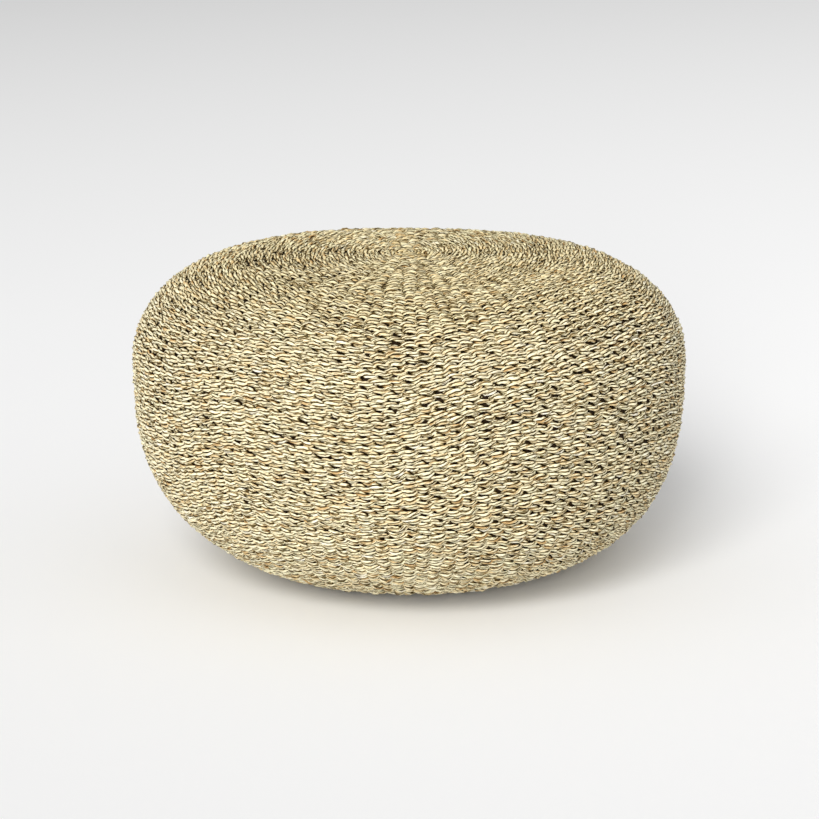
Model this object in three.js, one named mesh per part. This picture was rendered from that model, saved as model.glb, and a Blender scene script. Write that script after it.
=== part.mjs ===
// Round outdoor pouf: a hand-twined seagrass cover, drawn over a welded steel cage.
// Millimetres, +Z up, with the origin on the floor under the middle of the pouf.
import * as THREE from 'three';

// Overall size of the pouf
const WAIST_RADIUS = 305;
const WAIST_HEIGHT = 242;
const OVERALL_HEIGHT = 355.6;
const WEAVE_LIFT = 1;
const BASE_FLAT_RADIUS = 60;

// Fullness of the two quarter curves that the cover follows, as powers of a circle's
const CROWN_RADIUS_POWER = 0.43;
const CROWN_HEIGHT_POWER = 1.05;
const BELLY_RADIUS_POWER = 0.85;
const BELLY_HEIGHT_POWER = 0.7;

// Clearance between pieces that touch, and the fineness of the round shapes
const FIT_GAP = 0.4;
const COVER_SIDES = 48;
const CROWN_STEP_COUNT = 13;
const BELLY_STEP_COUNT = 13;
const HEM_STEP_COUNT = 2;
const RING_SIDES = 36;
const LINE_STEP_COUNT = 4000;
const SEARCH_ROUND_COUNT = 50;

// Cover: one woven shell, from the crossed stakes at the crown to the hem under the base
const COVER_WALL = 9;
const CROWN_START_RADIUS = 24;
const HEM_WIDTH = 16;

// Cage: rod sizes, and where its rings lie
const RIB_COUNT = 12;
const RIB_RADIUS = 2.5;
const RIB_SIDES = 6;
const CROWN_RING_RADIUS = 45;
const RING_ROD_RADIUS = 3;
const ROD_SIDES = 8;
const BASE_RING_RADIUS = 108;
const BASE_ROD_RADIUS = 5;
const BASE_BAR_RADIUS = 4;

// Rings that brace the ribs from inside, and each one's place along a rib, from crown to base
const BRACE_RING_NAMES = ['seat_ring', 'shoulder_ring', 'waist_ring', 'belly_ring'];
const BRACE_RING_SHARES = [0.2, 0.39, 0.58, 0.77];

// Underside: a plywood board below the base ring, with glides screwed on for the pouf to stand on
const BOARD_THICKNESS = 5;
const GLIDE_COUNT = 5;
const GLIDE_RADIUS = 11;
const GLIDE_FOOT_ROUNDING = 1.5;
const GLIDE_SIDES = 20;
const SCREW_HEAD_RADIUS = 3.6;
const SCREW_HEAD_HEIGHT = 1.6;
const SCREW_HEAD_RECESS = 0.8;
const SCREW_SHANK_RADIUS = 1.8;
const SCREW_SIDES = 12;

// Finishes of the real pieces
const SEAGRASS = { color: 0xcbb27c, roughness: 0.85, metalness: 0 };
const PLAITED_SEAGRASS = { color: 0xbfa36b, roughness: 0.88, metalness: 0 };
const BLACK_STEEL = { color: 0x1d1d1f, roughness: 0.5, metalness: 0.6 };
const STAINED_PLYWOOD = { color: 0x4a3826, roughness: 0.75, metalness: 0 };
const BLACK_PLASTIC = { color: 0x17171a, roughness: 0.45, metalness: 0 };
const ZINC_STEEL = { color: 0xa9abad, roughness: 0.35, metalness: 1 };

// The cover's outer line, from the pole over the waist to under the base, as radius and height
class CoverLine extends THREE.Curve {
  getPoint(share) {
    const quarters = 2 * share;
    const across = Math.sin(Math.PI * share);
    const along = Math.abs(Math.cos(Math.PI * share));
    if (quarters <= 1) {
      return new THREE.Vector2(
        WAIST_RADIUS * across ** CROWN_RADIUS_POWER,
        WAIST_HEIGHT + (OVERALL_HEIGHT - WAIST_HEIGHT) * along ** CROWN_HEIGHT_POWER,
      );
    }
    return new THREE.Vector2(
      BASE_FLAT_RADIUS + (WAIST_RADIUS - BASE_FLAT_RADIUS) * across ** BELLY_RADIUS_POWER,
      WAIST_HEIGHT - (WAIST_HEIGHT - WEAVE_LIFT) * along ** BELLY_HEIGHT_POWER,
    );
  }
}

// A path through given points, whose steps end exactly on those points
class PointPath extends THREE.Curve {
  constructor(points) {
    super();
    this.points = points;
  }

  getUtoTmapping(share) {
    return share;
  }

  getPoint(share) {
    const place = share * (this.points.length - 1);
    const start = Math.min(Math.floor(place), this.points.length - 2);
    return this.points[start].clone().lerp(this.points[start + 1], place - start);
  }
}

const coverLine = new CoverLine();
coverLine.arcLengthDivisions = LINE_STEP_COUNT;

// Share of the cover line's length at which its waist lies
function findWaistShare() {
  let above = 0;
  let below = 1;
  for (let round = 0; round < SEARCH_ROUND_COUNT; round += 1) {
    const middle = (above + below) / 2;
    if (coverLine.getPointAt(middle).y > WAIST_HEIGHT) {
      above = middle;
    } else {
      below = middle;
    }
  }
  return (above + below) / 2;
}

const waistShare = findWaistShare();

// Point at a depth under the cover line, measured square to it
function layerPoint(share, depth) {
  const tangent = coverLine.getTangentAt(share);
  const inward = new THREE.Vector2(tangent.y, -tangent.x);
  return coverLine.getPointAt(share).addScaledVector(inward, depth);
}

// Share at which the layer at a depth has the given radius, above or below the waist
function shareAtRadius(radius, belowWaist, depth = 0) {
  let near = belowWaist ? 1 : 0;
  let far = waistShare;
  for (let round = 0; round < SEARCH_ROUND_COUNT; round += 1) {
    const middle = (near + far) / 2;
    if (layerPoint(middle, depth).x < radius) {
      near = middle;
    } else {
      far = middle;
    }
  }
  return (near + far) / 2;
}

// Evenly spaced shares from one place on the cover line to another
function evenShares(start, end, steps) {
  return Array.from({ length: steps + 1 }, (_, step) => start + (end - start) * step / steps);
}

// Closed outline of a woven wall between two shares, from the cover line to its own depth
function wallOutline(shares) {
  const outside = shares.map((share) => layerPoint(share, 0));
  const inside = shares.map((share) => layerPoint(share, COVER_WALL));
  return [...inside, ...outside.toReversed()];
}

// Corner points of a regular outline round a centre, the first of them at the start angle
function circlePoints(radius, sides, centre, startAngle = 0) {
  return Array.from({ length: sides }, (_, corner) => {
    const angle = startAngle + 2 * Math.PI * corner / sides;
    return new THREE.Vector2(radius * Math.cos(angle), radius * Math.sin(angle)).add(centre);
  });
}

// Section of a rod with an even number of sides, whose flats lie at the given radius, with
// one of them facing up
function rodSection(radius, sides, centre) {
  const halfSide = Math.PI / sides;
  return circlePoints(radius / Math.cos(halfSide), sides, centre, Math.PI / 2 + halfSide);
}

// A body turned about the vertical axis from an outline of radius and height, which runs
// counterclockwise: up its outer side, and from axis to axis or round to its start
function turned(outline, sides) {
  const startsOnAxis = outline[0].x === 0;
  const profile = startsOnAxis ? outline : [...outline, outline[0]];
  return new THREE.LatheGeometry(profile, sides).rotateX(Math.PI / 2);
}

const pouf = new THREE.Group();

function addPiece(name, geometry, finish, parent = pouf) {
  const piece = new THREE.Mesh(geometry, new THREE.MeshStandardMaterial(finish));
  piece.name = name;
  parent.add(piece);
  return piece;
}

// Base opening, wide enough for the glides, and the hem's width round it
const glideReach = BASE_RING_RADIUS + GLIDE_RADIUS;
const hemInnerRadius = (glideReach + FIT_GAP) / Math.cos(Math.PI / COVER_SIDES);
const hemOuterRadius = hemInnerRadius + HEM_WIDTH;

// Woven cover: open over the crown start and over the base
const coverStartShare = shareAtRadius(CROWN_START_RADIUS + FIT_GAP, false);
const coverEndShare = shareAtRadius(hemOuterRadius, true);
const coverShares = [
  ...evenShares(coverStartShare, waistShare, CROWN_STEP_COUNT),
  ...evenShares(waistShare, coverEndShare, BELLY_STEP_COUNT).slice(1),
];
addPiece('woven_cover', turned(wallOutline(coverShares), COVER_SIDES), SEAGRASS);

// Crown start: the crossed stakes in the middle of the top, bound into a flat disc
const crownTop = coverLine.getPointAt(shareAtRadius(CROWN_START_RADIUS, false));
const crownStartOutline = [
  new THREE.Vector2(0, OVERALL_HEIGHT - COVER_WALL),
  new THREE.Vector2(crownTop.x, crownTop.y - COVER_WALL),
  crownTop,
  new THREE.Vector2(0, OVERALL_HEIGHT),
];
addPiece('crown_start', turned(crownStartOutline, COVER_SIDES), PLAITED_SEAGRASS);

// Base hem: the plaited border that closes the weave under the base
const hemShares = evenShares(
  shareAtRadius(hemOuterRadius - FIT_GAP, true),
  shareAtRadius(hemInnerRadius, true, COVER_WALL),
  HEM_STEP_COUNT,
);
addPiece('base_hem', turned(wallOutline(hemShares), COVER_SIDES), PLAITED_SEAGRASS);

// Ribs: bowed rods that follow the inside of the cover from the crown ring to the base ring
const ribDepth = COVER_WALL + FIT_GAP + RIB_RADIUS;
const ribStartShare = shareAtRadius(CROWN_RING_RADIUS + RING_ROD_RADIUS + FIT_GAP, false, ribDepth);
const ribEndShare = shareAtRadius(BASE_RING_RADIUS + BASE_ROD_RADIUS + FIT_GAP, true, ribDepth);
const ribShares = [
  ribStartShare,
  ...coverShares.filter((share) => share > ribStartShare),
  ribEndShare,
];
const ribLine = ribShares.map((share) => layerPoint(share, ribDepth));
const ribPath = new PointPath(ribLine.map((point) => new THREE.Vector3(point.x, 0, point.y)));
const ribSection = new THREE.Shape(rodSection(RIB_RADIUS, RIB_SIDES, new THREE.Vector2(0, 0)));
for (let rib = 0; rib < RIB_COUNT; rib += 1) {
  const ribGeometry = new THREE.ExtrudeGeometry(ribSection, {
    steps: ribLine.length - 1,
    extrudePath: ribPath,
    bevelEnabled: false,
  });
  const piece = addPiece(`rib_${rib + 1}`, ribGeometry, BLACK_STEEL);
  piece.rotation.z = 2 * Math.PI * rib / RIB_COUNT;
}

// A welded ring of round rod, level all round, with the rod's centre at a radius and height
function addRing(name, rodRadius, centre) {
  addPiece(name, turned(rodSection(rodRadius, ROD_SIDES, centre), RING_SIDES), BLACK_STEEL);
}

// Crown ring: the small ring that the ribs' upper ends are welded to
const crownRingDepth = COVER_WALL + FIT_GAP + RING_ROD_RADIUS;
const crownRingShare = shareAtRadius(CROWN_RING_RADIUS, false, crownRingDepth);
const crownRingCentre = layerPoint(crownRingShare, crownRingDepth);
addRing('crown_ring', RING_ROD_RADIUS, crownRingCentre);

// Base ring: the heavy ring that the ribs' lower ends are welded to
const baseRingHeight = ribLine[ribLine.length - 1].y;
const baseRingCentre = new THREE.Vector2(BASE_RING_RADIUS, baseRingHeight);
addRing('base_ring', BASE_ROD_RADIUS, baseRingCentre);

// Brace rings: welded to the ribs from inside, so that they keep their spacing under load
const braceDepth = ribDepth + RIB_RADIUS + FIT_GAP + RING_ROD_RADIUS;
BRACE_RING_NAMES.forEach((name, index) => {
  const share = ribShares[Math.round(BRACE_RING_SHARES[index] * (ribShares.length - 1))];
  addRing(name, RING_ROD_RADIUS, layerPoint(share, braceDepth));
});

// Base bars: a cross inside the base ring, one rod right through and two halves welded to it
const barReach = BASE_RING_RADIUS - BASE_ROD_RADIUS - FIT_GAP;
function addBaseBar(name, start, end, turn) {
  const holder = new THREE.Group();
  holder.rotation.z = turn;
  pouf.add(holder);
  const geometry = new THREE.CylinderGeometry(BASE_BAR_RADIUS, BASE_BAR_RADIUS, end - start, ROD_SIDES);
  const bar = addPiece(name, geometry.rotateZ(Math.PI / 2), BLACK_STEEL, holder);
  bar.position.set((start + end) / 2, 0, baseRingHeight);
}
addBaseBar('base_bar_through', -barReach, barReach, 0);
addBaseBar('base_bar_back', BASE_BAR_RADIUS + FIT_GAP, barReach, Math.PI / 2);
addBaseBar('base_bar_front', BASE_BAR_RADIUS + FIT_GAP, barReach, -Math.PI / 2);

// Base board: closes the cage from below, and takes the screws of the glides
const boardTop = baseRingHeight - BASE_ROD_RADIUS - FIT_GAP;
const boardBottom = boardTop - BOARD_THICKNESS;
const boardRadius = hemInnerRadius - FIT_GAP;
const screwHoleRadius = SCREW_SHANK_RADIUS + FIT_GAP;
const glideCentres = [];
for (let glide = 0; glide < GLIDE_COUNT; glide += 1) {
  const angle = 2 * Math.PI * glide / GLIDE_COUNT - Math.PI / 2;
  glideCentres.push(new THREE.Vector2(BASE_RING_RADIUS, 0).rotateAround(new THREE.Vector2(0, 0), angle));
}
const boardShape = new THREE.Shape(circlePoints(boardRadius, COVER_SIDES, new THREE.Vector2(0, 0)));
boardShape.holes = glideCentres.map(
  (centre) => new THREE.Path(circlePoints(screwHoleRadius, SCREW_SIDES, centre)),
);
const boardGeometry = new THREE.ExtrudeGeometry(boardShape, { depth: BOARD_THICKNESS, bevelEnabled: false });
addPiece('base_board', boardGeometry, STAINED_PLYWOOD).position.z = boardBottom;

// Glides: plastic pads that the pouf stands on, each with a sunk seat for its screw's head
const glideTop = boardBottom - FIT_GAP;
const headBoreRadius = SCREW_HEAD_RADIUS + FIT_GAP;
const headTop = SCREW_HEAD_RECESS + SCREW_HEAD_HEIGHT;
const glideOutline = [
  new THREE.Vector2(headBoreRadius, 0),
  new THREE.Vector2(GLIDE_RADIUS - GLIDE_FOOT_ROUNDING, 0),
  new THREE.Vector2(GLIDE_RADIUS, GLIDE_FOOT_ROUNDING),
  new THREE.Vector2(GLIDE_RADIUS, glideTop),
  new THREE.Vector2(screwHoleRadius, glideTop),
  new THREE.Vector2(screwHoleRadius, headTop + FIT_GAP),
  new THREE.Vector2(headBoreRadius, headTop + FIT_GAP),
];
const screwOutline = [
  new THREE.Vector2(0, SCREW_HEAD_RECESS),
  new THREE.Vector2(SCREW_HEAD_RADIUS, SCREW_HEAD_RECESS),
  new THREE.Vector2(SCREW_HEAD_RADIUS, headTop),
  new THREE.Vector2(SCREW_SHANK_RADIUS, headTop),
  new THREE.Vector2(SCREW_SHANK_RADIUS, boardTop),
  new THREE.Vector2(0, boardTop),
];
glideCentres.forEach((centre, index) => {
  const glide = addPiece(`glide_${index + 1}`, turned(glideOutline, GLIDE_SIDES), BLACK_PLASTIC);
  glide.position.set(centre.x, centre.y, 0);
  const screw = addPiece(`glide_screw_${index + 1}`, turned(screwOutline, SCREW_SIDES), ZINC_STEEL);
  screw.position.set(centre.x, centre.y, 0);
});

export default pouf;
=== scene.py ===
"""A round seagrass pouf: twined over a steel cage, with a board and glides under its base."""
import math
import bpy
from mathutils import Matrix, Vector


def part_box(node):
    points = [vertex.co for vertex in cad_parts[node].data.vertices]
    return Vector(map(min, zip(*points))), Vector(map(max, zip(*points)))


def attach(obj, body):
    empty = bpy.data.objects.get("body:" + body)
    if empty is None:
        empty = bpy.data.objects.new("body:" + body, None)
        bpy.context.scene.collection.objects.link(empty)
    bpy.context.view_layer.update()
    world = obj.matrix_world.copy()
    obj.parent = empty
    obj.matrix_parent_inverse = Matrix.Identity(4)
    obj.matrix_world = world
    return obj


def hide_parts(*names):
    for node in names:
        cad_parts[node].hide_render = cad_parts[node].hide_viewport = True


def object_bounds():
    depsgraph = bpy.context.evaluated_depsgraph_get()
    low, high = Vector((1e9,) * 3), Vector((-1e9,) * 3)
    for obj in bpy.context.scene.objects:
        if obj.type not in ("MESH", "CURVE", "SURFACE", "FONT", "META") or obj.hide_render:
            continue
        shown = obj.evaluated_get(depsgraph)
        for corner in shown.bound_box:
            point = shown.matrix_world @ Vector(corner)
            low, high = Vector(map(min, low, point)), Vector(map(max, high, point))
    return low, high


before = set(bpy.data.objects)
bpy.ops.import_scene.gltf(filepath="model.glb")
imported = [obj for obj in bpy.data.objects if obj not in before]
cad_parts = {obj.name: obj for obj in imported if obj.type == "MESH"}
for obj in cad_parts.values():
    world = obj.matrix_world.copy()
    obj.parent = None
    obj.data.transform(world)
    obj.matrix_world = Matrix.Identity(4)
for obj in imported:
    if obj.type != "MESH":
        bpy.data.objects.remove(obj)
cad_low, cad_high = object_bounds()
MM = 0.001

# Camera
# A long lens a little above the pouf, as a catalogue picture is taken, so that the
# crown shows as a narrow ellipse.
CAMERA_DISTANCE = 3.6
CAMERA_ELEVATION = math.radians(14)
CAMERA_AIM_HEIGHT = 176.5 * MM
CAMERA_FOCAL_PIXELS = 3230
PICTURE_PIXELS = 819
SENSOR_WIDTH = 36
CAMERA_REACH = 60

camera_data = bpy.data.cameras.new("camera")
camera_data.sensor_width = SENSOR_WIDTH
camera_data.lens = SENSOR_WIDTH * CAMERA_FOCAL_PIXELS / PICTURE_PIXELS
camera_data.clip_end = CAMERA_REACH
camera = bpy.data.objects.new("camera", camera_data)
bpy.context.scene.collection.objects.link(camera)
camera_back = Vector((0, -math.cos(CAMERA_ELEVATION), math.sin(CAMERA_ELEVATION)))
camera.location = Vector((0, 0, CAMERA_AIM_HEIGHT)) + camera_back * CAMERA_DISTANCE
camera.rotation_euler = (-camera_back).to_track_quat("-Z", "Y").to_euler()
bpy.context.scene.camera = camera
bpy.context.scene.view_settings.view_transform = "Standard"


def add_node(tree, kind, inputs=None, **settings):
    """Adds a node with its settings, and links or sets its inputs."""
    node = tree.nodes.new(kind)
    for setting, value in settings.items():
        setattr(node, setting, value)
    for socket, value in (inputs or {}).items():
        if isinstance(value, bpy.types.NodeSocket):
            tree.links.new(value, node.inputs[socket])
        else:
            node.inputs[socket].default_value = value
    return node


def linear(code):
    """An sRGB hex value as linear red, green, blue and alpha."""
    parts = [int(code[place:place + 2], 16) / 255 for place in (1, 3, 5)]
    return [part / 12.92 if part <= 0.04045 else ((part + 0.055) / 1.055) ** 2.4 for part in parts] + [1]


def new_material(name):
    """An empty material, and the tree that its nodes go in."""
    material = bpy.data.materials.new(name)
    material.use_nodes = True
    material.node_tree.nodes.clear()
    return material, material.node_tree


def fill_ramp(ramp, stops):
    """Gives a new colour ramp its stops, two or more pairs of a place and a colour in order."""
    elements = ramp.color_ramp.elements
    for index, (place, colour) in enumerate(stops):
        element = elements[index] if index < len(elements) else elements.new(place)
        element.position = place
        element.color = colour


# Studio
# A seamless paper floor, with light painted on it: palest round the pouf and darker towards the
# back and the left. The key lamp is in front, a little to the left and about 35 degrees up, and a
# soft low one stands beside the camera. An even fill comes from all round.
FLOOR_REACH = 30.0
FLOOR_DEPTH_START = -1.0
FLOOR_DEPTH_END = 8.0
# Painted light on the floor by depth, front to back: palest round the pouf, darker far back
FLOOR_PAINTED_LIGHT = [
    (0.0, 0.937), (0.08, 0.971), (0.19, 0.971), (0.25, 0.955), (0.39, 0.887), (0.7, 0.717), (1.0, 0.58)]
# Painted light across the floor: darker to the left, paler to the right
FLOOR_SIDE_REACH = 2.0
FLOOR_SIDE_PAINTED_LIGHT = 0.053
KEY_STRENGTH = 1.8
KEY_ANGLE = math.radians(26)
KEY_FROM = Vector((-0.3, -1.0, 0.72))
FRONT_STRENGTH = 1.6
FRONT_ANGLE = math.radians(16)
FRONT_FROM = Vector((-0.12, -1.0, 0.28))
FILL_STRENGTH = 0.49

floor_mesh = bpy.data.meshes.new("floor")
floor_mesh.from_pydata(
    [(-FLOOR_REACH, -FLOOR_REACH, 0), (FLOOR_REACH, -FLOOR_REACH, 0),
     (FLOOR_REACH, FLOOR_REACH, 0), (-FLOOR_REACH, FLOOR_REACH, 0)], [], [(0, 1, 2, 3)])
floor = bpy.data.objects.new("studio_floor", floor_mesh)
bpy.context.scene.collection.objects.link(floor)
paper, tree = new_material("matt_background_paper")
place = add_node(tree, "ShaderNodeTexCoord")
split = add_node(tree, "ShaderNodeSeparateXYZ", {0: place.outputs["Object"]})
# Painted light falling off towards the back and the left
depth = add_node(tree, "ShaderNodeMapRange", {
    "Value": split.outputs["Y"], "From Min": FLOOR_DEPTH_START, "From Max": FLOOR_DEPTH_END}, clamp=True)
painted_falloff = add_node(tree, "ShaderNodeValToRGB", {0: depth.outputs[0]})
fill_ramp(painted_falloff, [(spot, (value, value, value, 1)) for spot, value in FLOOR_PAINTED_LIGHT])
side_painted_falloff = add_node(tree, "ShaderNodeMapRange", {
    "Value": split.outputs["X"], "From Min": -FLOOR_SIDE_REACH, "From Max": FLOOR_SIDE_REACH,
    "To Min": 1 - FLOOR_SIDE_REACH * FLOOR_SIDE_PAINTED_LIGHT, "To Max": 1 + FLOOR_SIDE_REACH * FLOOR_SIDE_PAINTED_LIGHT},
    clamp=True)
tone = add_node(tree, "ShaderNodeVectorMath", {
    0: painted_falloff.outputs[0], "Scale": side_painted_falloff.outputs[0]}, operation="SCALE")
surface = add_node(tree, "ShaderNodeBsdfDiffuse", {"Color": tone.outputs[0]})
add_node(tree, "ShaderNodeOutputMaterial", {"Surface": surface.outputs[0]})
floor.data.materials.append(paper)

lamps = [
    ("key_lamp", KEY_STRENGTH, KEY_ANGLE, KEY_FROM),
    ("front_lamp", FRONT_STRENGTH, FRONT_ANGLE, FRONT_FROM)]
for name, strength, angle, source in lamps:
    lamp_data = bpy.data.lights.new(name, "SUN")
    lamp_data.energy = strength
    lamp_data.angle = angle
    lamp = bpy.data.objects.new(name, lamp_data)
    lamp.rotation_euler = (-source).to_track_quat("-Z", "Y").to_euler()
    bpy.context.scene.collection.objects.link(lamp)
world = bpy.data.worlds.new("studio_fill")
world.use_nodes = True
world.node_tree.nodes["Background"].inputs["Color"].default_value = (1, 1, 1, 1)
world.node_tree.nodes["Background"].inputs["Strength"].default_value = FILL_STRENGTH
bpy.context.scene.world = world

# Form line of the cover
# The line that the weaver follows from the middle of the crown over the waist to under
# the base. Each woven piece starts as this line, and its tree lays strands along it.
WAIST_RADIUS = (cad_high.x - cad_low.x) / 2
OVERALL_HEIGHT = cad_high.z - cad_low.z
WAIST_HEIGHT = 242 * MM
WEAVE_LIFT = 1 * MM
BASE_FLAT_RADIUS = 60 * MM
CROWN_RADIUS_POWER = 0.43
CROWN_HEIGHT_POWER = 1.05
BELLY_RADIUS_POWER = 0.85
BELLY_HEIGHT_POWER = 0.7
LINE_STEPS = 400
COVER_START_RADIUS = 24.4 * MM
HEM_OUTER_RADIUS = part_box("base_hem")[1].x


def form_line_points():
    """Points of the form line in the XZ plane, from the pole to the base."""
    crown_rise = OVERALL_HEIGHT - WAIST_HEIGHT
    belly_reach = WAIST_RADIUS - BASE_FLAT_RADIUS
    belly_drop = WAIST_HEIGHT - WEAVE_LIFT
    points = []
    for step in range(LINE_STEPS + 1):
        angle = math.pi / 2 * (step / LINE_STEPS) ** (1 / CROWN_RADIUS_POWER)
        radius = WAIST_RADIUS * math.sin(angle) ** CROWN_RADIUS_POWER
        height = WAIST_HEIGHT + crown_rise * abs(math.cos(angle)) ** CROWN_HEIGHT_POWER
        points.append(Vector((radius, 0, height)))
    for step in range(1, LINE_STEPS + 1):
        angle = math.pi / 2 * (1 + step / LINE_STEPS)
        radius = BASE_FLAT_RADIUS + belly_reach * abs(math.sin(angle)) ** BELLY_RADIUS_POWER
        height = WAIST_HEIGHT - belly_drop * abs(math.cos(angle)) ** BELLY_HEIGHT_POWER
        points.append(Vector((radius, 0, height)))
    return points


line_points = form_line_points()
line_lengths = [0.0]
for before, after in zip(line_points, line_points[1:]):
    line_lengths.append(line_lengths[-1] + (after - before).length)


def length_at_radius(radius, below_waist=False):
    """Length along the form line at which it has the given radius."""
    for index in range(len(line_points) - 1):
        here, there = line_points[index], line_points[index + 1]
        if (index >= LINE_STEPS) == below_waist and min(here.x, there.x) <= radius <= max(here.x, there.x):
            share = (radius - here.x) / (there.x - here.x)
            return line_lengths[index] + share * (line_lengths[index + 1] - line_lengths[index])
    raise ValueError("no such radius on the form line")


WEAVE_START = length_at_radius(COVER_START_RADIUS)
WEAVE_END = length_at_radius(HEM_OUTER_RADIUS, True)


def new_tree(name, inputs, outputs=(("Geometry", "Geometry"),)):
    """An empty geometry tree with named inputs and outputs, given as pairs of a name and a kind."""
    tree = bpy.data.node_groups.new(name, "GeometryNodeTree")
    for direction, sockets in (("INPUT", inputs), ("OUTPUT", outputs)):
        for socket, kind in sockets:
            tree.interface.new_socket(socket, in_out=direction, socket_type="NodeSocket" + kind)
    return tree


def grow(name, tree, values):
    """A piece that a geometry tree makes from the form line, as a plain mesh."""
    mesh = bpy.data.meshes.new("form_line")
    mesh.from_pydata(line_points, [(index, index + 1) for index in range(len(line_points) - 1)], [])
    piece = bpy.data.objects.new(name, mesh)
    bpy.context.scene.collection.objects.link(piece)
    modifier = piece.modifiers.new(tree.name, "NODES")
    modifier.node_group = tree
    for item in tree.interface.items_tree:
        if item.in_out == "INPUT" and item.name in values:
            modifier[item.identifier] = values[item.name]
    graph = bpy.context.evaluated_depsgraph_get()
    piece.data = bpy.data.meshes.new_from_object(piece.evaluated_get(graph), depsgraph=graph)
    piece.data.name = name
    piece.modifiers.clear()
    bpy.data.meshes.remove(mesh)
    return piece


# Place on the cover
# Where a strand lies, from its length along the form line, its angle round the pouf and
# its height over the cover. Use has settled it: the crown is a little lower at the back,
# and the belly is fuller on one side than the other.
CROWN_SAG = 4 * MM
SAG_START = 60 * MM
SAG_MOST = 210 * MM
SAG_END = 340 * MM
SAG_NARROWING = 4.0
BELLY_SLACK = -0.5 * MM
BELLY_LEAN = 2.5 * MM
LEAN_START = 440 * MM
LEAN_MOST = 565 * MM

place_tree = tree = new_tree(
    "place_on_cover", (("Line", "Geometry"), ("Length", "Float"), ("Angle", "Float"), ("Height", "Float")),
    (("Position", "Vector"), ("Outward", "Vector")))
given = add_node(tree, "NodeGroupInput").outputs
seat = add_node(tree, "GeometryNodeSampleCurve", {
    "Curves": given["Line"], "Length": given["Length"]}, mode="LENGTH", data_type="FLOAT")
heading = add_node(tree, "ShaderNodeSeparateXYZ", {0: seat.outputs["Tangent"]})
inward = add_node(tree, "ShaderNodeMath", {0: heading.outputs["Z"], 1: -1.0}, operation="MULTIPLY")
normal = add_node(tree, "ShaderNodeCombineXYZ", {"X": inward.outputs[0], "Z": heading.outputs["X"]})
# Two stretches of the form line, each from none at its ends to all at its middle
stretches = []
for start, most, end in ((LEAN_START, LEAN_MOST, WEAVE_END), (SAG_START, SAG_MOST, SAG_END)):
    rise = add_node(tree, "ShaderNodeMapRange", {
        "Value": given["Length"], "From Min": start, "From Max": most}, interpolation_type="SMOOTHSTEP")
    fall = add_node(tree, "ShaderNodeMapRange", {
        "Value": given["Length"], "From Min": end, "From Max": most}, interpolation_type="SMOOTHSTEP")
    stretches.append(add_node(tree, "ShaderNodeMath", {
        0: rise.outputs[0], 1: fall.outputs[0]}, operation="MULTIPLY"))
on_belly, on_crown = stretches
to_side = add_node(tree, "ShaderNodeMath", {0: given["Angle"]}, operation="COSINE")
lean = add_node(tree, "ShaderNodeMath", {
    0: to_side.outputs[0], 1: BELLY_LEAN, 2: BELLY_SLACK}, operation="MULTIPLY_ADD")
height = add_node(tree, "ShaderNodeMath", {
    0: lean.outputs[0], 1: on_belly.outputs[0], 2: given["Height"]}, operation="MULTIPLY_ADD")
behind = add_node(tree, "ShaderNodeMath", {0: given["Angle"]}, operation="SINE", use_clamp=True)
behind = add_node(tree, "ShaderNodeMath", {0: behind.outputs[0], 1: SAG_NARROWING}, operation="POWER")
sag = add_node(tree, "ShaderNodeMath", {0: on_crown.outputs[0], 1: behind.outputs[0]}, operation="MULTIPLY")
height = add_node(tree, "ShaderNodeMath", {
    0: sag.outputs[0], 1: -CROWN_SAG, 2: height.outputs[0]}, operation="MULTIPLY_ADD")
lifted = add_node(tree, "ShaderNodeVectorMath", {
    0: normal.outputs[0], 1: height.outputs[0], 2: seat.outputs["Position"]}, operation="MULTIPLY_ADD")
placed = add_node(tree, "ShaderNodeVectorRotate", {
    "Vector": lifted.outputs[0], "Axis": (0, 0, 1), "Angle": given["Angle"]}, rotation_type="AXIS_ANGLE")
outward = add_node(tree, "ShaderNodeVectorRotate", {
    "Vector": normal.outputs[0], "Axis": (0, 0, 1), "Angle": given["Angle"]}, rotation_type="AXIS_ANGLE")
add_node(tree, "NodeGroupOutput", {"Position": placed.outputs[0], "Outward": outward.outputs[0]})

# Strand of seagrass
# Five split blades laid side by side and twisted by hand into one strand, pressed flat by
# its neighbours. Dry blades are dented, and a strand swells and thins along its length.
SECTION_SIDES = 10
SIDES_PER_BLADE = 2
CREASE_DEPTH_SHARE = 0.36
DENT_SPACING = 4 * MM
NOISE_MIDDLE = 0.5

strand_tree = tree = new_tree("seagrass_strand", (
    ("Curve", "Geometry"), ("Radius", "Float"), ("Flatness", "Float"), ("Twist Length", "Float"),
    ("Dents", "Float"), ("Travel Start", "Float"), ("Strand", "Float"), ("Height", "Float"),
    ("Outward", "Vector"), ("Material", "Material")))
given = add_node(tree, "NodeGroupInput").outputs
kept = add_node(tree, "GeometryNodeCaptureAttribute", {"Geometry": given["Curve"]})
position = add_node(tree, "GeometryNodeInputPosition").outputs[0]
half_thickness = add_node(tree, "ShaderNodeMath", {
    0: given["Radius"], 1: given["Flatness"]}, operation="MULTIPLY")
for name, kind, value in (
        ("height", "FLOAT", given["Height"]), ("half_thickness", "FLOAT", half_thickness.outputs[0]),
        ("centre", "VECTOR", position), ("outward", "VECTOR", given["Outward"])):
    kept.capture_items.new(kind, name)
    tree.links.new(value, kept.inputs[name])
travelled = add_node(tree, "GeometryNodeSplineParameter").outputs["Length"]
turns = add_node(tree, "ShaderNodeMath", {0: travelled, 1: given["Twist Length"]}, operation="DIVIDE")
tilt = add_node(tree, "ShaderNodeMath", {0: turns.outputs[0], 1: 2 * math.pi}, operation="MULTIPLY")
core = add_node(tree, "GeometryNodeSetCurveTilt", {"Curve": kept.outputs[0], "Tilt": tilt.outputs[0]})
travel = add_node(tree, "ShaderNodeMath", {0: given["Travel Start"], 1: travelled}, operation="ADD")
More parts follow.
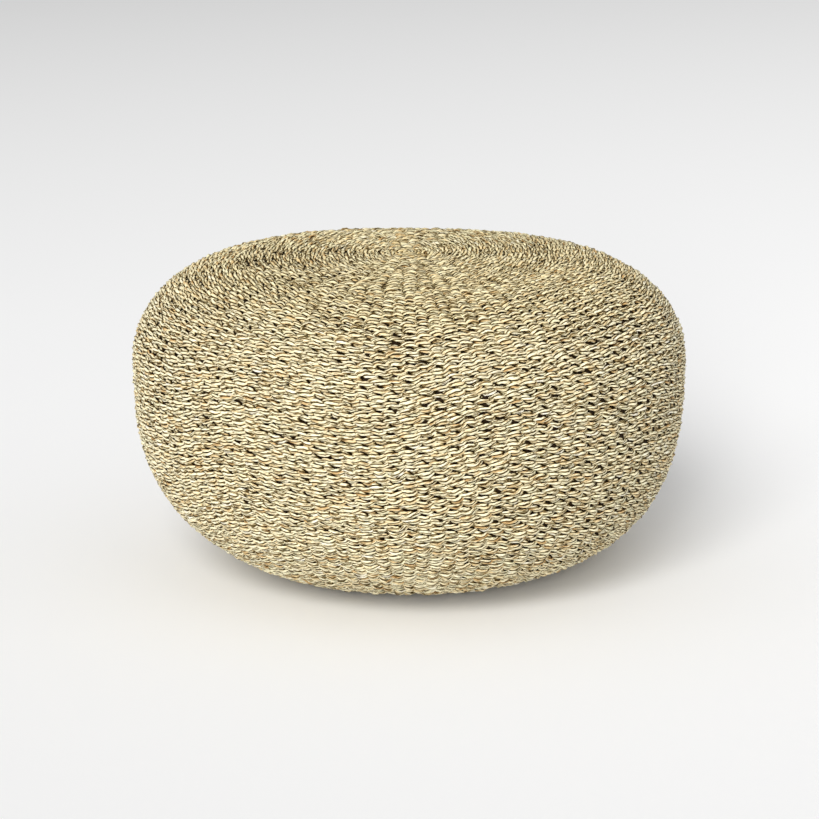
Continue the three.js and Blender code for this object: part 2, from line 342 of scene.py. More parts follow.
for name, value in (("travel", travel.outputs[0]), ("strand", given["Strand"])):
    core = add_node(tree, "GeometryNodeStoreNamedAttribute", {
        "Geometry": core.outputs[0], "Name": name, "Value": value}, data_type="FLOAT", domain="POINT")

corner_number = add_node(tree, "GeometryNodeInputIndex").outputs[0]
in_blade = add_node(tree, "ShaderNodeMath", {0: corner_number, 1: SIDES_PER_BLADE}, operation="MODULO")
crease = add_node(tree, "ShaderNodeMath", {0: in_blade.outputs[0], 1: 1.0}, operation="LESS_THAN")
blade = add_node(tree, "ShaderNodeMath", {0: corner_number, 1: SIDES_PER_BLADE}, operation="DIVIDE")
blade = add_node(tree, "ShaderNodeMath", {0: blade.outputs[0]}, operation="FLOOR")
reach = add_node(tree, "ShaderNodeMath", {
    0: crease.outputs[0], 1: -CREASE_DEPTH_SHARE, 2: 1.0}, operation="MULTIPLY_ADD")
corner = add_node(tree, "ShaderNodeVectorMath", {0: position, "Scale": reach.outputs[0]}, operation="SCALE")
section = add_node(tree, "GeometryNodeCurvePrimitiveCircle", {"Resolution": SECTION_SIDES, "Radius": 1.0})
section = add_node(tree, "GeometryNodeStoreNamedAttribute", {
    "Geometry": section.outputs[0], "Name": "side", "Value": position},
    data_type="FLOAT_VECTOR", domain="POINT")
for name, value in (("crease", crease.outputs[0]), ("blade", blade.outputs[0])):
    section = add_node(tree, "GeometryNodeStoreNamedAttribute", {
        "Geometry": section.outputs[0], "Name": name, "Value": value}, data_type="FLOAT", domain="POINT")
section = add_node(tree, "GeometryNodeSetPosition", {
    "Geometry": section.outputs[0], "Position": corner.outputs[0]})
swept = add_node(tree, "GeometryNodeCurveToMesh", {
    "Curve": core.outputs[0], "Profile Curve": section.outputs[0], "Scale": given["Radius"],
    "Fill Caps": True})

from_centre = add_node(tree, "ShaderNodeVectorMath", {
    0: position, 1: kept.outputs["centre"]}, operation="SUBTRACT")
above = add_node(tree, "ShaderNodeVectorMath", {
    0: from_centre.outputs[0], 1: kept.outputs["outward"]}, operation="DOT_PRODUCT").outputs["Value"]
press = add_node(tree, "ShaderNodeMath", {0: given["Flatness"], 1: 1.0}, operation="SUBTRACT")
press = add_node(tree, "ShaderNodeMath", {0: press.outputs[0], 1: above}, operation="MULTIPLY")
press = add_node(tree, "ShaderNodeVectorMath", {
    0: kept.outputs["outward"], "Scale": press.outputs[0]}, operation="SCALE")
pressed = add_node(tree, "GeometryNodeSetPosition", {
    "Geometry": swept.outputs[0], "Offset": press.outputs[0]})
dent = add_node(tree, "ShaderNodeTexNoise", {
    "Scale": 1 / DENT_SPACING, "Detail": 1.0}, noise_dimensions="3D")
dent = add_node(tree, "ShaderNodeMath", {0: dent.outputs[0], 1: NOISE_MIDDLE}, operation="SUBTRACT")
dent = add_node(tree, "ShaderNodeMath", {0: dent.outputs[0], 1: given["Dents"]}, operation="MULTIPLY")
surface_normal = add_node(tree, "GeometryNodeInputNormal").outputs[0]
dent = add_node(tree, "ShaderNodeVectorMath", {
    0: surface_normal, "Scale": dent.outputs[0]}, operation="SCALE")
marked = add_node(tree, "GeometryNodeSetPosition", {
    "Geometry": pressed.outputs[0], "Offset": dent.outputs[0]})

height = add_node(tree, "ShaderNodeMath", {0: above, 1: kept.outputs["height"]}, operation="ADD")
facing = add_node(tree, "ShaderNodeMath", {0: above, 1: kept.outputs["half_thickness"]}, operation="DIVIDE")
for name, value in (("height", height.outputs[0]), ("facing", facing.outputs[0])):
    marked = add_node(tree, "GeometryNodeStoreNamedAttribute", {
        "Geometry": marked.outputs[0], "Name": name, "Value": value}, data_type="FLOAT", domain="POINT")
smooth = add_node(tree, "GeometryNodeSetShadeSmooth", {"Geometry": marked.outputs[0]})
real = add_node(tree, "GeometryNodeRealizeInstances", {"Geometry": smooth.outputs[0]})
finished = add_node(tree, "GeometryNodeSetMaterial", {
    "Geometry": real.outputs[0], "Material": given["Material"]})
add_node(tree, "NodeGroupOutput", {"Geometry": finished.outputs[0]})

# Dry seagrass, split and twisted by hand: pale straw to tan with a faint green cast and fine dark
# fibres along the blades. It is matt with a faint wax, with shade painted into its creases, its
# pleats, its side edges and the holes between strands, warmer the deeper it is. The crown has
# deeper painted shade and is a little more golden.
STRAND_RADIUS = 3.85 * MM
STRAND_FLATNESS = 0.85
FIBRE_WIDTH = 1.0 * MM
FIBRE_LENGTH = 6 * MM
FIBRE_DEPTH = 0.5 * MM
BLADE_PATCH_LENGTH = 30 * MM
# Steps in the noise that set the patches of one strand and one blade apart from the next
STRAND_STEP = 31.7
BLADE_STEP = 1.9
# Noise levels at which a patch is darkest and palest, and at which a fibre ends and is clear
PATCH_DARK = 0.3
PATCH_PALE = 0.7
GAP_LEVEL = 0.43
FIBRE_LEVEL = 0.47
GAP_TONE = 0.1
# Powers for red, green and blue, which make the painted shade warm
SHADE_POWERS = (1.0, 1.15, 1.55)
# Heights over the cover at which a strand has the holes' full painted shade, and none of it
SHADE_BOTTOM = -4.5 * MM
SHADE_TOP = -2.75 * MM
HOLE_PAINTED_SHADE = 0.03
# Shares of the way into a crease at which its painted shade starts, and is deepest
CREASE_BRIM = 0.6
CREASE_BED = 0.85
CREASE_PAINTED_SHADE = 0.06
# Shares of the way from a strand's side edge to its top at which its painted edge shade is deepest, and ends
EDGE_DARK = 0.2
EDGE_CLEAR = 0.4
EDGE_PAINTED_SHADE = 0.03
# Noise along a strand that shifts its painted hole shade up and down, into short dark ticks where it pleats
# behind a stake
PLEAT_SPACING = 1.8 * MM
PLEAT_SHADE_SHIFT = 3 * MM
# Heights over the floor between which the crown's deeper painted shade and its more golden tint come in
CROWN_LOW = 300 * MM
CROWN_HIGH = 352 * MM
CROWN_SHADE = 2.0 * MM
CROWN_TINT = (0.0, -0.03, -0.12)


def blade_shade(tree, marks, rows, fibres, on_crown):
    """How much light each spot keeps: painted shade in holes, pleats, creases and at side edges, and darker
    gaps between fibres.
    """
    pleat_run = add_node(tree, "ShaderNodeMath", {
        0: marks["travel"]["Fac"], 1: 1 / PLEAT_SPACING}, operation="MULTIPLY")
    pleat_place = add_node(tree, "ShaderNodeCombineXYZ", {"X": pleat_run.outputs[0], "Y": rows.outputs[0]})
    pleat = add_node(tree, "ShaderNodeTexNoise", {
        "Vector": pleat_place.outputs[0], "Scale": 1.0, "Detail": 0.0}, noise_dimensions="2D")
    pleat = add_node(tree, "ShaderNodeMath", {0: pleat.outputs[0], 1: NOISE_MIDDLE}, operation="SUBTRACT")
    depth = add_node(tree, "ShaderNodeMath", {
        0: pleat.outputs[0], 1: PLEAT_SHADE_SHIFT, 2: marks["height"]["Fac"]}, operation="MULTIPLY_ADD")
    depth = add_node(tree, "ShaderNodeMath", {
        0: on_crown.outputs[0], 1: -CROWN_SHADE, 2: depth.outputs[0]}, operation="MULTIPLY_ADD")
    # Painted shade in the holes between strands, deeper on the crown
    shade = add_node(tree, "ShaderNodeMapRange", {
        "Value": depth.outputs[0], "From Min": SHADE_BOTTOM, "From Max": SHADE_TOP,
        "To Min": HOLE_PAINTED_SHADE, "To Max": 1.0}, clamp=True)
    # Painted shade in the creases between blades and at a strand's side edges
    crease_painted_shade = add_node(tree, "ShaderNodeMapRange", {
        "Value": marks["crease"]["Fac"], "From Min": CREASE_BRIM, "From Max": CREASE_BED,
        "To Min": 1.0, "To Max": CREASE_PAINTED_SHADE}, clamp=True)
    edge_painted_shade = add_node(tree, "ShaderNodeMapRange", {
        "Value": marks["facing"]["Fac"], "From Min": EDGE_DARK, "From Max": EDGE_CLEAR,
        "To Min": EDGE_PAINTED_SHADE, "To Max": 1.0}, clamp=True)
    fibred = add_node(tree, "ShaderNodeMapRange", {
        "Value": fibres.outputs[0], "From Min": GAP_LEVEL, "From Max": FIBRE_LEVEL,
        "To Min": GAP_TONE, "To Max": 1.0}, clamp=True)
    for part in (crease_painted_shade, edge_painted_shade, fibred):
        shade = add_node(tree, "ShaderNodeMath", {
            0: shade.outputs[0], 1: part.outputs[0]}, operation="MULTIPLY")
    return add_node(tree, "ShaderNodeVectorMath", {0: shade.outputs[0], 1: SHADE_POWERS}, operation="POWER")


def dry_seagrass(name, colours):
    """Seagrass in the given colours, from the darkest blades to the palest."""
    material, tree = new_material(name)
    marks = {mark: add_node(tree, "ShaderNodeAttribute", attribute_name=mark).outputs for mark in (
        "side", "travel", "height", "facing", "strand", "crease", "blade")}
    fibre_place = add_node(tree, "ShaderNodeVectorMath", {
        0: marks["side"]["Vector"], "Scale": STRAND_RADIUS / FIBRE_WIDTH}, operation="SCALE")
    fibre_run = add_node(tree, "ShaderNodeMath", {
        0: marks["travel"]["Fac"], 1: 1 / FIBRE_LENGTH}, operation="MULTIPLY")
    fibre_run = add_node(tree, "ShaderNodeCombineXYZ", {"Z": fibre_run.outputs[0]})
    fibre_place = add_node(tree, "ShaderNodeVectorMath", {
        0: fibre_place.outputs[0], 1: fibre_run.outputs[0]}, operation="ADD")
    fibres = add_node(tree, "ShaderNodeTexNoise", {
        "Vector": fibre_place.outputs[0], "W": marks["strand"]["Fac"], "Scale": 1.0, "Detail": 3.0,
        "Roughness": 0.6}, noise_dimensions="4D")

    rows = add_node(tree, "ShaderNodeMath", {0: marks["strand"]["Fac"], 1: STRAND_STEP}, operation="MULTIPLY")
    rows = add_node(tree, "ShaderNodeMath", {
        0: marks["blade"]["Fac"], 1: BLADE_STEP, 2: rows.outputs[0]}, operation="MULTIPLY_ADD")
    patch_run = add_node(tree, "ShaderNodeMath", {
        0: marks["travel"]["Fac"], 1: 1 / BLADE_PATCH_LENGTH}, operation="MULTIPLY")
    patch_place = add_node(tree, "ShaderNodeCombineXYZ", {"X": patch_run.outputs[0], "Y": rows.outputs[0]})
    patches = add_node(tree, "ShaderNodeTexNoise", {
        "Vector": patch_place.outputs[0], "Scale": 1.0, "Detail": 3.0, "Roughness": 0.6},
        noise_dimensions="2D")
    tone = add_node(tree, "ShaderNodeMapRange", {
        "Value": patches.outputs[0], "From Min": PATCH_DARK, "From Max": PATCH_PALE}, clamp=True)
    blade_colour = add_node(tree, "ShaderNodeValToRGB", {0: tone.outputs[0]})
    last = len(colours) - 1
    fill_ramp(blade_colour, [(index / last, linear(code)) for index, code in enumerate(colours)])

    place = add_node(tree, "ShaderNodeTexCoord")
    place = add_node(tree, "ShaderNodeSeparateXYZ", {0: place.outputs["Object"]})
    on_crown = add_node(tree, "ShaderNodeMapRange", {
        "Value": place.outputs["Z"], "From Min": CROWN_LOW, "From Max": CROWN_HIGH}, clamp=True)
    shade = blade_shade(tree, marks, rows, fibres, on_crown)
    shaded = add_node(tree, "ShaderNodeVectorMath", {
        0: blade_colour.outputs[0], 1: shade.outputs[0]}, operation="MULTIPLY")
    tint = add_node(tree, "ShaderNodeVectorMath", {
        0: on_crown.outputs[0], 1: CROWN_TINT, 2: (1.0, 1.0, 1.0)}, operation="MULTIPLY_ADD")
    tinted = add_node(tree, "ShaderNodeVectorMath", {
        0: shaded.outputs[0], 1: tint.outputs[0]}, operation="MULTIPLY")
    bump = add_node(tree, "ShaderNodeBump", {
        "Height": fibres.outputs[0], "Strength": 0.6, "Distance": FIBRE_DEPTH})
    surface = add_node(tree, "ShaderNodeBsdfPrincipled", {
        "Base Color": tinted.outputs[0], "Roughness": 0.65, "Specular IOR Level": 0.1,
        "Normal": bump.outputs[0]})
    add_node(tree, "ShaderNodeOutputMaterial", {"Surface": surface.outputs[0]})
    return material


# Twined weft
# Two strands wind round the pouf in one close spiral and swap places between the stakes, so
# that each shows as a row of slanting stitches. The rows wander and rise to one side, the
# strands are a little thicker on the left, and no two stitches are alike.
SWING_OUT = 2.4 * MM
SWING_ALONG = 2.4 * MM
WEFT_PROUD = 1 * MM
ROW_PITCH = 8.82 * MM
STITCH_POINTS = 5
# How far down the form line the rows lie on the right: less than nothing, so they rise there
ROW_RISE = -26 * MM
ROW_WANDER = 80 * MM
WANDER_SPACING = 240 * MM
WANDER_TALLNESS = 0.2
WANDER_EASE = 300 * MM
ROW_JITTER = 2.8 * MM
JITTER_SPACING = 14 * MM
STITCH_WANDER = 3.0
STITCH_SPACING = 13 * MM
STITCH_BULGE_SHARE = 0.22
THICKNESS_WANDER = 1.6
THICKNESS_SPACING = 14 * MM
THICKER_LEFT = 0.06
# Length of a full twist, with a minus for its hand
TWIST_LENGTH = -48 * MM
DENTS = 1.6 * MM
WEAVE_SEED = 52.0
STRAND_SEED_STEP = 7.3
# Strand used up for each length along the form line, so that the bands' blades differ
TRAVEL_PER_LENGTH = 97.0
# Points start this far apart in a straight line, before they are laid on the cover
LOOSE_STEP = 1 * MM
# Rounds and stitches a round, from the crown to the hem: stakes are added as the crown
# widens, and pairs of them run together under the base. The last half round tucks under
# the hem.
BANDS = [(2.0, 15), (5.0, 30), (10.0, 60), *[(8.0, 120)] * 6, (5.0, 120), (5.5, 60)]

weft_tree = tree = new_tree("twined_weft", (
    ("Geometry", "Geometry"), ("Start Length", "Float"), ("Row Pitch", "Float"), ("Rounds", "Float"),
    ("Stitches", "Int"), ("Stitch Points", "Int"), ("Strand Radius", "Float"), ("Flatness", "Float"),
    ("Swing Out", "Float"), ("Swing Along", "Float"), ("Proud", "Float"), ("Row Rise", "Float"),
    ("Row Wander", "Float"), ("Wander Start", "Float"), ("Wander End", "Float"), ("Row Jitter", "Float"),
    ("Stitch Wander", "Float"), ("Thickness Wander", "Float"), ("Twist Length", "Float"),
    ("Dents", "Float"), ("Seed", "Float"), ("Material", "Material")))
given = add_node(tree, "NodeGroupInput").outputs
line = add_node(tree, "GeometryNodeMeshToCurve", {"Mesh": given["Geometry"]}).outputs[0]

per_round = add_node(tree, "ShaderNodeMath", {
    0: given["Stitches"], 1: given["Stitch Points"]}, operation="MULTIPLY")
in_all = add_node(tree, "ShaderNodeMath", {0: per_round.outputs[0], 1: given["Rounds"]}, operation="MULTIPLY")
count = add_node(tree, "ShaderNodeMath", {0: in_all.outputs[0], 1: 1.0}, operation="ADD")
run = add_node(tree, "GeometryNodeMeshLine", {"Count": count.outputs[0], "Offset": (0, 0, LOOSE_STEP)})
run = add_node(tree, "GeometryNodeMeshToCurve", {"Mesh": run.outputs[0]})
numbered = add_node(tree, "GeometryNodeCaptureAttribute", {"Geometry": run.outputs[0]})
numbered.capture_items.new("FLOAT", "number")
tree.links.new(add_node(tree, "GeometryNodeInputIndex").outputs[0], numbered.inputs["number"])
pair = add_node(tree, "GeometryNodeDuplicateElements", {
    "Geometry": numbered.outputs[0], "Amount": 2}, domain="SPLINE")
strand = pair.outputs["Duplicate Index"]

rounds = add_node(tree, "ShaderNodeMath", {
    0: numbered.outputs["number"], 1: per_round.outputs[0]}, operation="DIVIDE")
angle = add_node(tree, "ShaderNodeMath", {0: rounds.outputs[0], 1: 2 * math.pi}, operation="MULTIPLY")
length = add_node(tree, "ShaderNodeMath", {
    0: rounds.outputs[0], 1: given["Row Pitch"], 2: given["Start Length"]}, operation="MULTIPLY_ADD")
spot = add_node(tree, "GeometryNodeGroup", {
    "Line": line, "Length": length.outputs[0], "Angle": angle.outputs[0]}, node_tree=place_tree)

tall_spot = add_node(tree, "ShaderNodeVectorMath", {
    0: spot.outputs["Position"], 1: (1.0, 1.0, WANDER_TALLNESS)}, operation="MULTIPLY")
wander = add_node(tree, "ShaderNodeTexNoise", {
    "Vector": tall_spot.outputs[0], "W": given["Seed"], "Scale": 1 / WANDER_SPACING, "Detail": 1.0},
    noise_dimensions="4D")
wander = add_node(tree, "ShaderNodeMath", {0: wander.outputs[0], 1: NOISE_MIDDLE}, operation="SUBTRACT")
since_start = add_node(tree, "ShaderNodeMath", {
    0: length.outputs[0], 1: given["Wander Start"]}, operation="SUBTRACT")
until_end = add_node(tree, "ShaderNodeMath", {
    0: given["Wander End"], 1: length.outputs[0]}, operation="SUBTRACT")
from_ends = add_node(tree, "ShaderNodeMath", {
    0: since_start.outputs[0], 1: until_end.outputs[0]}, operation="MINIMUM")
ease = add_node(tree, "ShaderNodeMapRange", {
    "Value": from_ends.outputs[0], "From Max": WANDER_EASE}, interpolation_type="SMOOTHSTEP")
to_side = add_node(tree, "ShaderNodeMath", {0: angle.outputs[0]}, operation="COSINE")
rising = add_node(tree, "ShaderNodeMath", {0: to_side.outputs[0], 1: given["Row Rise"]}, operation="MULTIPLY")
shift = add_node(tree, "ShaderNodeMath", {
    0: wander.outputs[0], 1: given["Row Wander"], 2: rising.outputs[0]}, operation="MULTIPLY_ADD")
row_length = add_node(tree, "ShaderNodeMath", {
    0: shift.outputs[0], 1: ease.outputs[0], 2: length.outputs[0]}, operation="MULTIPLY_ADD")
jitter = add_node(tree, "ShaderNodeTexNoise", {
    "Vector": spot.outputs["Position"], "W": given["Seed"], "Scale": 1 / JITTER_SPACING, "Detail": 0.0},
    noise_dimensions="4D")
jitter = add_node(tree, "ShaderNodeMath", {0: jitter.outputs[0], 1: NOISE_MIDDLE}, operation="SUBTRACT")
row_length = add_node(tree, "ShaderNodeMath", {
    0: jitter.outputs[0], 1: given["Row Jitter"], 2: row_length.outputs[0]}, operation="MULTIPLY_ADD")
slip = add_node(tree, "ShaderNodeTexNoise", {
    "Vector": spot.outputs["Position"], "W": given["Seed"], "Scale": 1 / STITCH_SPACING, "Detail": 1.0},
    noise_dimensions="4D")
slip = add_node(tree, "ShaderNodeMath", {0: slip.outputs[0], 1: NOISE_MIDDLE}, operation="SUBTRACT")
slip = add_node(tree, "ShaderNodeMath", {0: slip.outputs[0], 1: given["Stitch Wander"]}, operation="MULTIPLY")

half_turns = add_node(tree, "ShaderNodeMath", {
    0: rounds.outputs[0], 1: given["Stitches"], 2: strand}, operation="MULTIPLY_ADD")
swing = add_node(tree, "ShaderNodeMath", {
    0: half_turns.outputs[0], 1: math.pi, 2: slip.outputs[0]}, operation="MULTIPLY_ADD")
aside = add_node(tree, "ShaderNodeMath", {0: swing.outputs[0]}, operation="SINE")
along = add_node(tree, "ShaderNodeMath", {
    0: aside.outputs[0], 1: given["Swing Along"], 2: row_length.outputs[0]}, operation="MULTIPLY_ADD")
front = add_node(tree, "ShaderNodeMath", {0: swing.outputs[0]}, operation="COSINE")
inset = add_node(tree, "ShaderNodeMath", {0: given["Proud"], 1: given["Swing Out"]}, operation="SUBTRACT")
half_thickness = add_node(tree, "ShaderNodeMath", {
    0: given["Strand Radius"], 1: given["Flatness"]}, operation="MULTIPLY")
inset = add_node(tree, "ShaderNodeMath", {
    0: inset.outputs[0], 1: half_thickness.outputs[0]}, operation="SUBTRACT")
height = add_node(tree, "ShaderNodeMath", {
    0: front.outputs[0], 1: given["Swing Out"], 2: inset.outputs[0]}, operation="MULTIPLY_ADD")
laid = add_node(tree, "GeometryNodeGroup", {
    "Line": line, "Length": along.outputs[0], "Angle": angle.outputs[0], "Height": height.outputs[0]},
    node_tree=place_tree)
wound = add_node(tree, "GeometryNodeSetPosition", {
    "Geometry": pair.outputs[0], "Position": laid.outputs["Position"]})

own_seed = add_node(tree, "ShaderNodeMath", {
    0: strand, 1: STRAND_SEED_STEP, 2: given["Seed"]}, operation="MULTIPLY_ADD")
swell = add_node(tree, "ShaderNodeTexNoise", {
    "Vector": spot.outputs["Position"], "W": own_seed.outputs[0], "Scale": 1 / THICKNESS_SPACING,
    "Detail": 1.0}, noise_dimensions="4D")
swell = add_node(tree, "ShaderNodeMath", {0: swell.outputs[0], 1: NOISE_MIDDLE}, operation="SUBTRACT")
side_size = add_node(tree, "ShaderNodeMath", {
    0: to_side.outputs[0], 1: -THICKER_LEFT, 2: 1.0}, operation="MULTIPLY_ADD")
swell = add_node(tree, "ShaderNodeMath", {
    0: swell.outputs[0], 1: given["Thickness Wander"], 2: side_size.outputs[0]}, operation="MULTIPLY_ADD")
bulge = add_node(tree, "ShaderNodeMath", {
    0: front.outputs[0], 1: STITCH_BULGE_SHARE, 2: 1.0}, operation="MULTIPLY_ADD")
thickness = add_node(tree, "ShaderNodeMath", {0: swell.outputs[0], 1: bulge.outputs[0]}, operation="MULTIPLY")
thickness = add_node(tree, "ShaderNodeMath", {
    0: thickness.outputs[0], 1: given["Strand Radius"]}, operation="MULTIPLY")
travel = add_node(tree, "ShaderNodeMath", {
    0: given["Start Length"], 1: TRAVEL_PER_LENGTH}, operation="MULTIPLY")
strands = add_node(tree, "GeometryNodeGroup", {
    "Curve": wound.outputs[0], "Radius": thickness.outputs[0], "Flatness": given["Flatness"],
    "Twist Length": given["Twist Length"], "Dents": given["Dents"], "Travel Start": travel.outputs[0],
    "Strand": strand, "Height": height.outputs[0], "Outward": laid.outputs["Outward"],
    "Material": given["Material"]}, node_tree=strand_tree)
add_node(tree, "NodeGroupOutput", {"Geometry": strands.outputs[0]})

weft_grass = dry_seagrass("twisted_dry_seagrass", ["#caa773", "#e9d6a9", "#f6eccb", "#f0eac5", "#fcf6e3"])
weave = {
    "Row Pitch": ROW_PITCH, "Stitch Points": STITCH_POINTS, "Strand Radius": STRAND_RADIUS,
    "Flatness": STRAND_FLATNESS, "Swing Out": SWING_OUT, "Swing Along": SWING_ALONG, "Proud": WEFT_PROUD,
    "Row Rise": ROW_RISE, "Row Wander": ROW_WANDER, "Wander Start": WEAVE_START, "Wander End": WEAVE_END,
    "Row Jitter": ROW_JITTER, "Stitch Wander": STITCH_WANDER, "Thickness Wander": THICKNESS_WANDER,
    "Twist Length": TWIST_LENGTH, "Dents": DENTS, "Seed": WEAVE_SEED, "Material": weft_grass}
band_start = WEAVE_START
for index, (rounds, stitches) in enumerate(BANDS):
    band = grow(f"weft_band_{index + 1}", weft_tree, {
        **weave, "Start Length": band_start, "Rounds": rounds, "Stitches": stitches})
    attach(band, "root")
    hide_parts("woven_cover")
    band_start += rounds * ROW_PITCH

# Stakes
# Flat stalks that run from the crown to the hem inside the weft, one behind each column of
# stitches. New ones are tucked in beside them as the cover widens.
STAKE_WIDTH = 6.4 * MM
STAKE_THICKNESS = 1.0 * MM
STAKE_DEPTH = 3.7 * MM
STAKE_POINTS = 90
STALK_STREAK_WIDTH = 1.2 * MM
# Stakes in a round, the half step that they are turned by, and the band that they start in
STAKE_SETS = [(15, 0.0, 0), (15, 0.5, 1), (30, 0.5, 2), (60, 0.5, 3)]

stake_tree = tree = new_tree("radial_stakes", (
    ("Geometry", "Geometry"), ("Count", "Int"), ("Turn", "Float"), ("Start Length", "Float"),
    ("End Length", "Float"), ("Points", "Int"), ("Width", "Float"), ("Thickness", "Float"),
    ("Depth", "Float"), ("Material", "Material")))
given = add_node(tree, "NodeGroupInput").outputs
line = add_node(tree, "GeometryNodeMeshToCurve", {"Mesh": given["Geometry"]}).outputs[0]
run = add_node(tree, "GeometryNodeMeshLine", {"Count": given["Points"], "Offset": (0, 0, LOOSE_STEP)})
run = add_node(tree, "GeometryNodeMeshToCurve", {"Mesh": run.outputs[0]})
along = add_node(tree, "GeometryNodeCaptureAttribute", {"Geometry": run.outputs[0]})
along.capture_items.new("FLOAT", "share")
tree.links.new(add_node(tree, "GeometryNodeSplineParameter").outputs["Factor"], along.inputs["share"])
all_round = add_node(tree, "GeometryNodeDuplicateElements", {
    "Geometry": along.outputs[0], "Amount": given["Count"]}, domain="SPLINE")
length = add_node(tree, "ShaderNodeMapRange", {
    "Value": along.outputs["share"], "To Min": given["Start Length"], "To Max": given["End Length"]})
steps = add_node(tree, "ShaderNodeMath", {
    0: all_round.outputs["Duplicate Index"], 1: given["Turn"]}, operation="ADD")
steps = add_node(tree, "ShaderNodeMath", {0: steps.outputs[0], 1: given["Count"]}, operation="DIVIDE")
angle = add_node(tree, "ShaderNodeMath", {0: steps.outputs[0], 1: 2 * math.pi}, operation="MULTIPLY")
height = add_node(tree, "ShaderNodeMath", {0: given["Depth"], 1: -1.0}, operation="MULTIPLY")
laid = add_node(tree, "GeometryNodeGroup", {
    "Line": line, "Length": length.outputs[0], "Angle": angle.outputs[0], "Height": height.outputs[0]},
    node_tree=place_tree)
stalks = add_node(tree, "GeometryNodeSetPosition", {
    "Geometry": all_round.outputs[0], "Position": laid.outputs["Position"]})
stalks = add_node(tree, "GeometryNodeSetCurveNormal", {
    0: stalks.outputs[0], "Normal": laid.outputs["Outward"]}, mode="FREE")
section = add_node(tree, "GeometryNodeCurvePrimitiveQuadrilateral", {
    "Width": given["Thickness"], "Height": given["Width"]})
swept = add_node(tree, "GeometryNodeCurveToMesh", {
    "Curve": stalks.outputs[0], "Profile Curve": section.outputs[0], "Fill Caps": True})
real = add_node(tree, "GeometryNodeRealizeInstances", {"Geometry": swept.outputs[0]})
finished = add_node(tree, "GeometryNodeSetMaterial", {
    "Geometry": real.outputs[0], "Material": given["Material"]})
add_node(tree, "NodeGroupOutput", {"Geometry": finished.outputs[0]})

# Flat seagrass stalk: brown straw, streaked along the stalk, with its colour painted dark as the shade that
# it lies in behind the weft.
stalk_grass, tree = new_material("flat_seagrass_stalk")
place = add_node(tree, "ShaderNodeTexCoord")
streaks = add_node(tree, "ShaderNodeTexNoise", {
    "Vector": place.outputs["Object"], "Scale": 1 / STALK_STREAK_WIDTH, "Detail": 2.0})
colour = add_node(tree, "ShaderNodeValToRGB", {0: streaks.outputs[0]})
# Painted shade: the straw's colour darkened to the shade behind the weft
fill_ramp(colour, [(0.0, linear("#170e05")), (1.0, linear("#2e1f0e"))])
surface = add_node(tree, "ShaderNodeBsdfPrincipled", {
    "Base Color": colour.outputs[0], "Roughness": 0.7, "Specular IOR Level": 0.1})
add_node(tree, "ShaderNodeOutputMaterial", {"Surface": surface.outputs[0]})

for index, (count, turn, first_band) in enumerate(STAKE_SETS):
    start = WEAVE_START + sum(rounds for rounds, _ in BANDS[:first_band]) * ROW_PITCH
    stakes = grow(f"stakes_{index + 1}", stake_tree, {
        "Count": count, "Turn": turn, "Start Length": start, "End Length": WEAVE_END,
        "Points": STAKE_POINTS, "Width": STAKE_WIDTH, "Thickness": STAKE_THICKNESS, "Depth": STAKE_DEPTH,
        "Material": stalk_grass})
    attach(stakes, "root")
    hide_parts("woven_cover")

# Crown start
# The tight whorl that the weaver begins with: two short rounds of the same two strands,
# drawn in over the crossed ends of the stakes.
WHORL_STITCH_POINTS = 8
# Start radius, row pitch, rounds and stitches a round, from the middle outwards
WHORLS = [(1.5 * MM, 7.5 * MM, 1.0, 4), (9 * MM, 7.7 * MM, 2.0, 9)]

border_grass = dry_seagrass("firm_dry_seagrass", ["#bf9b69", "#dcc592", "#f0e3bc", "#e8dfb8", "#f7eed6"])
for index, (radius, pitch, rounds, stitches) in enumerate(WHORLS):
    whorl = grow(f"crown_whorl_{index + 1}", weft_tree, {
        **weave, "Start Length": radius, "Row Pitch": pitch, "Rounds": rounds, "Stitches": stitches,
        "Row Wander": 0.0, "Row Jitter": 0.0, "Stitch Points": WHORL_STITCH_POINTS,
        "Material": border_grass})
    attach(whorl, "root")
    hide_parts("crown_start")

# Base hem
# A firm border of two thick strands, laid round the opening under the base and bound over
# the turned-in ends of the stakes.
HEM_STRAND_RADIUS = 4.4 * MM
HEM_SWING_OUT = 2.2 * MM
HEM_SWING_ALONG = 3.9 * MM
HEM_STITCHES = 60
HEM_STITCH_WANDER = 0.8
HEM_THICKNESS_WANDER = 0.5

board_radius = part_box("base_board")[1].x
hem_start = length_at_radius((HEM_OUTER_RADIUS + board_radius) / 2, True)
hem = grow("hem_border", weft_tree, {
    **weave, "Start Length": hem_start, "Row Pitch": 0.0, "Rounds": 1.0, "Stitches": HEM_STITCHES,
    "Strand Radius": HEM_STRAND_RADIUS, "Flatness": 1.0, "Swing Out": HEM_SWING_OUT,
    "Swing Along": HEM_SWING_ALONG, "Row Wander": 0.0, "Row Jitter": 0.0,
    "Stitch Wander": HEM_STITCH_WANDER, "Thickness Wander": HEM_THICKNESS_WANDER,
    "Material": border_grass})
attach(hem, "root")
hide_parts("base_hem")

# Cage
# Bent steel rod, welded where ribs cross rings, that holds the cover's round form.
# Satin powder coat on it: soft black with the faint orange peel of baked powder.
PEEL_SPACING = 1.5 * MM
PEEL_DEPTH = 0.1 * MM

